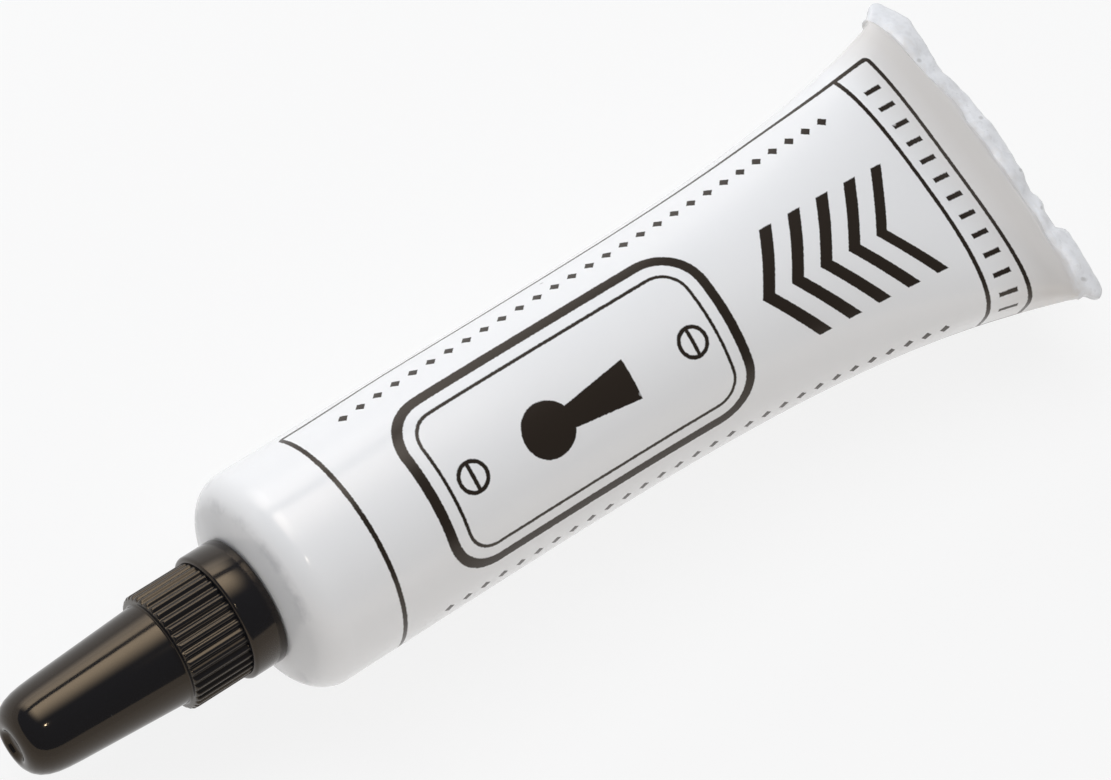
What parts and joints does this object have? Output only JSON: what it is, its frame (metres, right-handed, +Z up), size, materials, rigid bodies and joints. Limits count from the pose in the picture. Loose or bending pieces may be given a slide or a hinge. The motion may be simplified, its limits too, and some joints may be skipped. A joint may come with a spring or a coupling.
{
  "type": "graphite lock lubricant tube",
  "caption": "Soft white squeeze tube with a flat sealed tail, a threaded neck with a fine nozzle, and a black fluted screw cap with a long nose; holds dry graphite powder for locks.",
  "frame": {"origin": "on the table under the middle of the lying tube's box", "axes": "+X along the tube's axis from the cap to the sealed tail, +Y across the flat tail, +Z up"},
  "size_m": [0.0844, 0.0268, 0.016],
  "materials": {
    "white_sleeve": "glossy soft polyethylene",
    "white_head": "glossy moulded polyethylene",
    "graphite": "fine dry powder with a faint metallic sheen",
    "liner": "matt foamed polyethylene",
    "black_cap": "glossy moulded plastic"
  },
  "bodies": {
    "tube": {"tube_sleeve": "white_sleeve", "tube_head": "white_head", "graphite_powder": "graphite"},
    "liner": {"cap_liner": "liner"},
    "cap": {"screw_cap": "black_cap"}
  },
  "joints": [
    {"name": "cap_travel", "type": "slide", "parent": "tube", "child": "liner", "axis": [-1, 0, 0], "range_m": [0, 0.0028]},
    {"name": "cap_turn", "type": "hinge", "parent": "liner", "child": "cap", "pos_m": [-0.02415, 0, 0.008], "axis": [-1, 0, 0], "range_deg": [0, 720]}
  ],
  "couplings": [
    {"joint": "cap_turn", "follows": "cap_travel", "rad_per_m": 4488}
  ]
}
